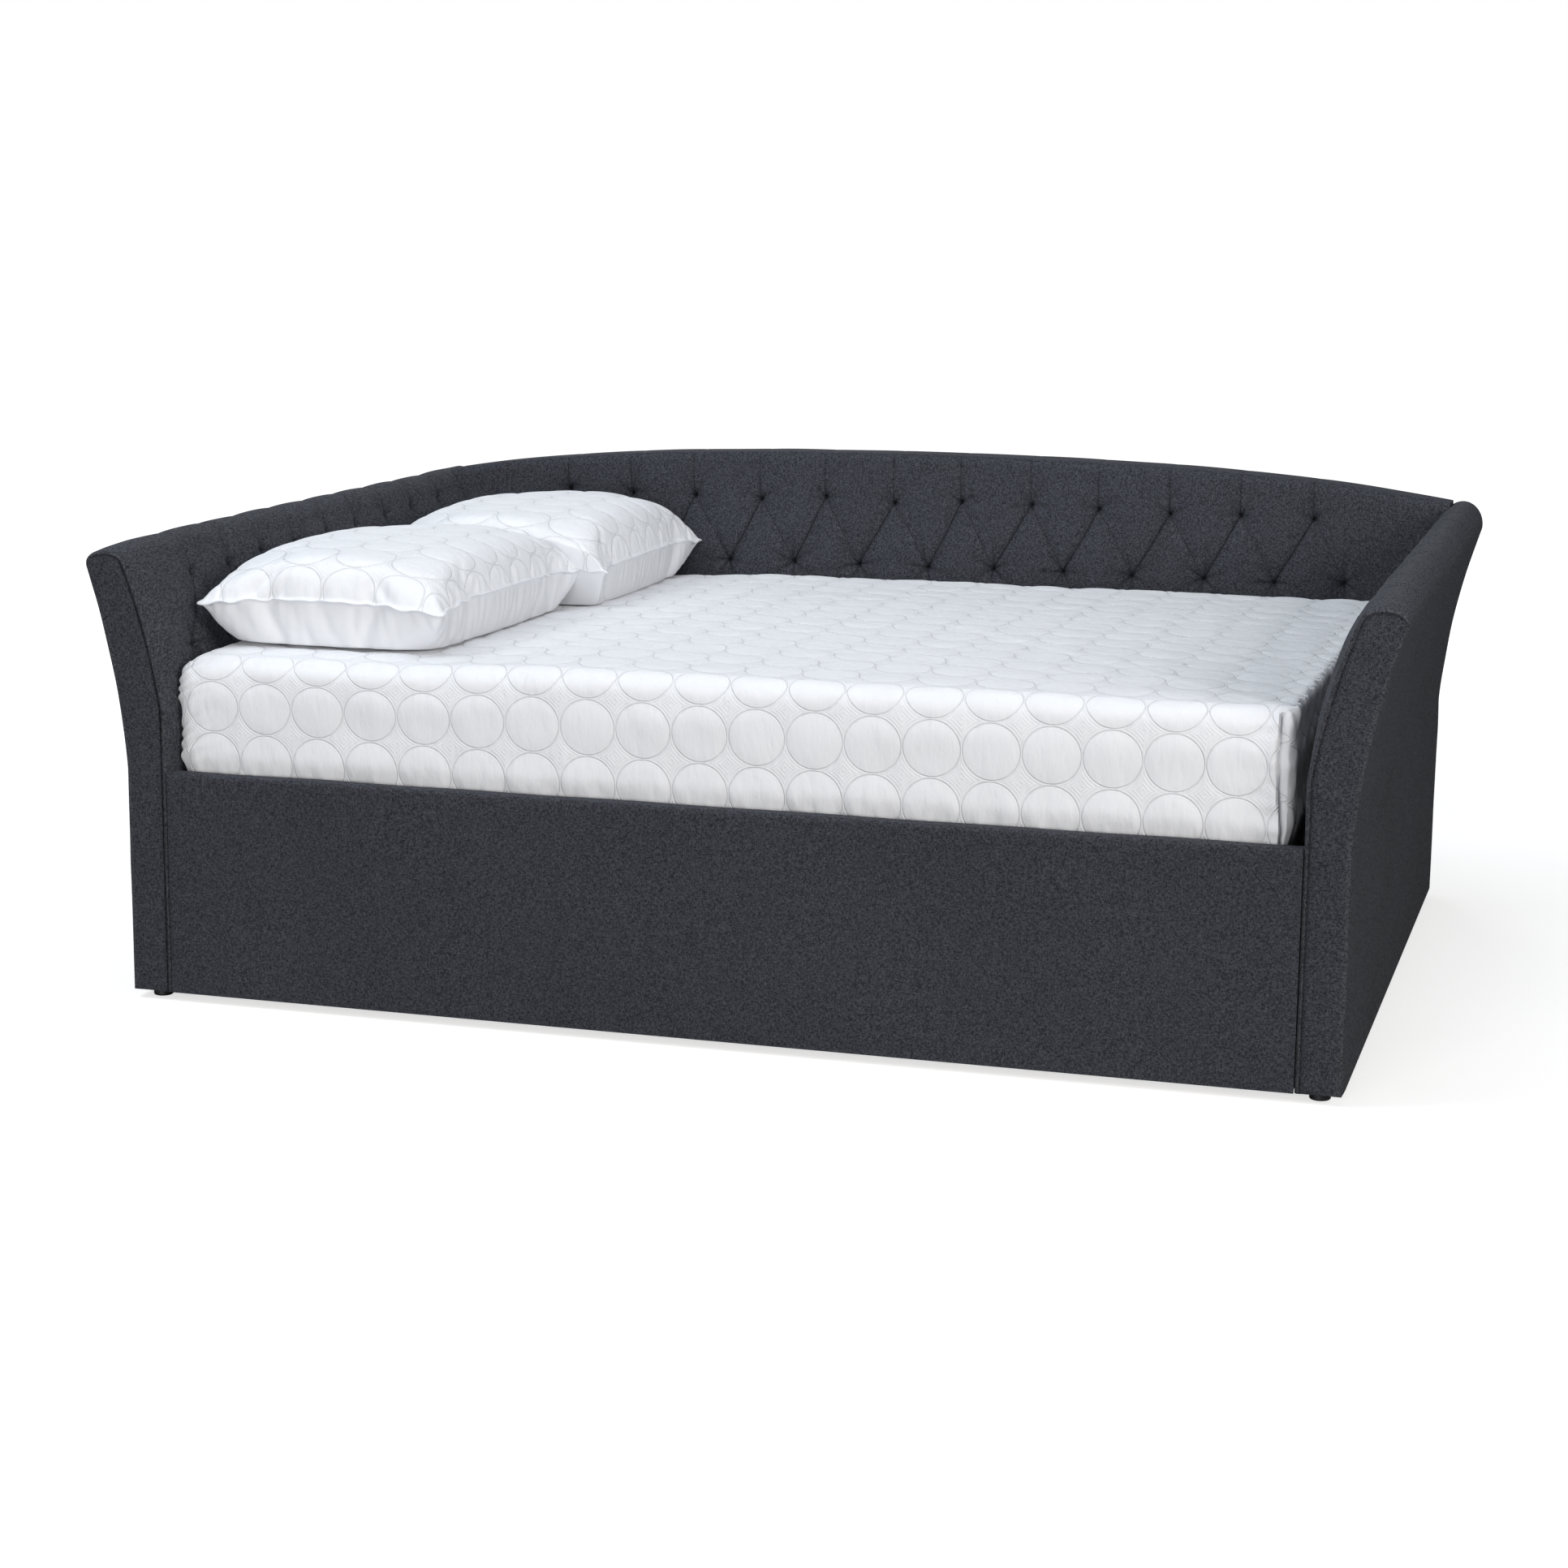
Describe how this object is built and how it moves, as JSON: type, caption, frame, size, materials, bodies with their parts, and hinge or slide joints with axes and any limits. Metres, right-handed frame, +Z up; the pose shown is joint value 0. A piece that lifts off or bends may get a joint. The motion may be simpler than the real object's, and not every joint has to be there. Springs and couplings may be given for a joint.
{
  "type": "upholstered daybed",
  "caption": "Queen-size daybed with flared, tufted roll arms, an arched tufted back, a plain front rail, a slatted deck, a quilted mattress and loose pillows.",
  "frame": {"origin": "centre of the bounding box's footprint, on the floor under the glides", "axes": "+X along the bed's length to the right arm, +Y towards the back, +Z up"},
  "size_m": [2.3618, 1.664, 0.9258],
  "materials": {
    "upholstery_fabric": "matte",
    "padding_foam": "matte",
    "plywood": "matte",
    "frame_lumber": "matte",
    "glide_plastic": "satin",
    "steel_hardware": "satin",
    "quilted_cotton": "matte",
    "mattress_core": "matte",
    "pillow_filling": "matte"
  },
  "bodies": {
    "frame": {"arm_left_board": "plywood", "arm_left_bottom_rail": "frame_lumber", "arm_left_foam": "padding_foam", "arm_left_front_facing": "upholstery_fabric", "arm_left_inner_cover": "upholstery_fabric", "arm_left_outer_cover": "upholstery_fabric", "arm_left_post_front": "frame_lumber", "arm_left_post_rear": "frame_lumber", "arm_left_top_rail": "frame_lumber", "arm_right_board": "plywood", "arm_right_bottom_rail": "frame_lumber", "arm_right_foam": "padding_foam", "arm_right_front_facing": "upholstery_fabric", "arm_right_inner_cover": "upholstery_fabric", "arm_right_outer_cover": "upholstery_fabric", "arm_right_post_front": "frame_lumber", "arm_right_post_rear": "frame_lumber", "arm_right_top_rail": "frame_lumber", "back_board": "plywood", "back_bottom_rail": "frame_lumber", "back_cover": "upholstery_fabric", "back_foam": "padding_foam", "back_post_left": "frame_lumber", "back_post_right": "frame_lumber", "back_rear_cover": "upholstery_fabric", "back_top_rail": "frame_lumber", "beam_cleat_left": "frame_lumber", "beam_cleat_right": "frame_lumber", "centre_beam": "frame_lumber", "centre_leg_left": "frame_lumber", "centre_leg_right": "frame_lumber", "corner_brackets": "steel_hardware", "deck_screws": "steel_hardware", "frame_bolts": "steel_hardware", "front_board": "plywood", "front_cover": "upholstery_fabric", "glides": "glide_plastic", "ledger_front": "frame_lumber", "ledger_rear": "frame_lumber", "slat_01": "frame_lumber", "slat_02": "frame_lumber", "slat_03": "frame_lumber", "slat_04": "frame_lumber", "slat_05": "frame_lumber", "slat_06": "frame_lumber", "slat_07": "frame_lumber", "slat_08": "frame_lumber", "slat_09": "frame_lumber", "slat_10": "frame_lumber", "slat_11": "frame_lumber"},
    "mattress": {"mattress_core": "mattress_core", "quilt_front": "quilted_cotton", "quilt_left": "quilted_cotton", "quilt_rear": "quilted_cotton", "quilt_right": "quilted_cotton", "quilt_top": "quilted_cotton"},
    "pillow_front": {"pillow_front_cover": "quilted_cotton", "pillow_front_filling": "pillow_filling"},
    "pillow_rear": {"pillow_rear_cover": "quilted_cotton", "pillow_rear_filling": "pillow_filling"}
  },
  "joints": [
    {"name": "mattress_lift", "type": "slide", "parent": "frame", "child": "mattress", "axis": [0, 0, 1], "range_m": [0, 0.6]},
    {"name": "pillow_front_lift", "type": "slide", "parent": "mattress", "child": "pillow_front", "axis": [0, 0, 1], "range_m": [0, 0.5]},
    {"name": "pillow_rear_lift", "type": "slide", "parent": "mattress", "child": "pillow_rear", "axis": [0, 0, 1], "range_m": [0, 0.5]}
  ]
}
